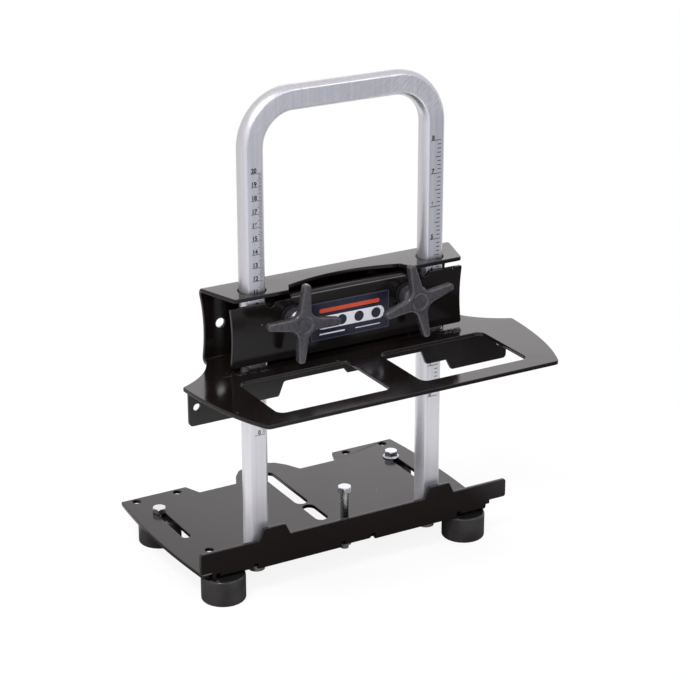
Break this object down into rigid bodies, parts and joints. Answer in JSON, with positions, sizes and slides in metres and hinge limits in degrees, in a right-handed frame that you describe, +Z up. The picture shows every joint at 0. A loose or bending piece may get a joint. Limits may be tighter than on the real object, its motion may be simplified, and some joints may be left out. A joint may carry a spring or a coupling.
{
  "type": "chainsaw mill",
  "caption": "Small chainsaw mill: slotted base plate on feet, arched guide tube with scales, and a folded carriage locked at a height by a clamp plate and two star knobs.",
  "frame": {"origin": "on the ground below the middle of the bounding box", "axes": "+X along the plates to the right as seen from the knobs, +Y away from the knobs, +Z up along the guide tube's legs"},
  "size_m": [0.2807, 0.2548, 0.3852],
  "materials": {
    "black_paint": "satin",
    "aluminium": "satin",
    "zinc": "satin",
    "steel": "satin",
    "rubber": "satin",
    "knob_plastic": "matte",
    "brass": "satin",
    "label_film": "satin"
  },
  "bodies": {
    "stand": {"base_plate": "black_paint", "guide_tube": "aluminium", "stop_bolt": "zinc", "stop_nut_upper": "zinc", "stop_nut_lower": "zinc", "tube_plug_left": "steel", "tube_screw_left": "steel", "tube_washer_left": "steel", "foot_front_left": "rubber", "foot_washer_front_left": "zinc", "foot_nut_front_left": "zinc", "foot_bolt_front_left": "zinc", "tube_plug_right": "steel", "tube_screw_right": "steel", "tube_washer_right": "steel", "foot_front_right": "rubber", "foot_washer_front_right": "zinc", "foot_nut_front_right": "zinc", "foot_bolt_front_right": "zinc"},
    "carriage": {"carriage_channel": "black_paint", "guide_skirt": "black_paint", "clamp_stud_left": "steel", "clamp_stud_right": "steel"},
    "clamp": {"clamp_plate": "black_paint", "label_plate": "label_film", "clamp_washer_left": "black_paint", "clamp_washer_right": "black_paint"},
    "left_knob": {"knob_left": "knob_plastic", "knob_insert_left": "brass"},
    "right_knob": {"knob_right": "knob_plastic", "knob_insert_right": "brass"},
    "left_back_foot": {"foot_back_left": "rubber", "foot_washer_back_left": "zinc", "foot_nut_back_left": "zinc", "foot_bolt_back_left": "zinc"},
    "right_back_foot": {"foot_back_right": "rubber", "foot_washer_back_right": "zinc", "foot_nut_back_right": "zinc", "foot_bolt_back_right": "zinc"}
  },
  "joints": [
    {"name": "carriage_slide", "type": "slide", "parent": "stand", "child": "carriage", "axis": [0, 0, 1], "range_m": [-0.11, 0.104]},
    {"name": "clamp_release", "type": "slide", "parent": "carriage", "child": "clamp", "axis": [0, -1, 0], "range_m": [0, 0.0025]},
    {"name": "left_knob_spin", "type": "hinge", "parent": "clamp", "child": "left_knob", "pos_m": [-0.0485, -0.03915, 0.2152], "axis": [0, -1, 0], "range_deg": [0, 720]},
    {"name": "right_knob_spin", "type": "hinge", "parent": "clamp", "child": "right_knob", "pos_m": [0.0485, -0.03915, 0.2152], "axis": [0, -1, 0], "range_deg": [0, 720]},
    {"name": "left_foot_slide", "type": "slide", "parent": "stand", "child": "left_back_foot", "axis": [0, 1, 0], "range_m": [-0.047, 0.001]},
    {"name": "right_foot_slide", "type": "slide", "parent": "stand", "child": "right_back_foot", "axis": [0, 1, 0], "range_m": [-0.047, 0.001]}
  ],
  "couplings": [
    {"joint": "left_knob_spin", "follows": "clamp_release", "rad_per_m": 5026.5},
    {"joint": "right_knob_spin", "follows": "clamp_release", "rad_per_m": 5026.5}
  ]
}
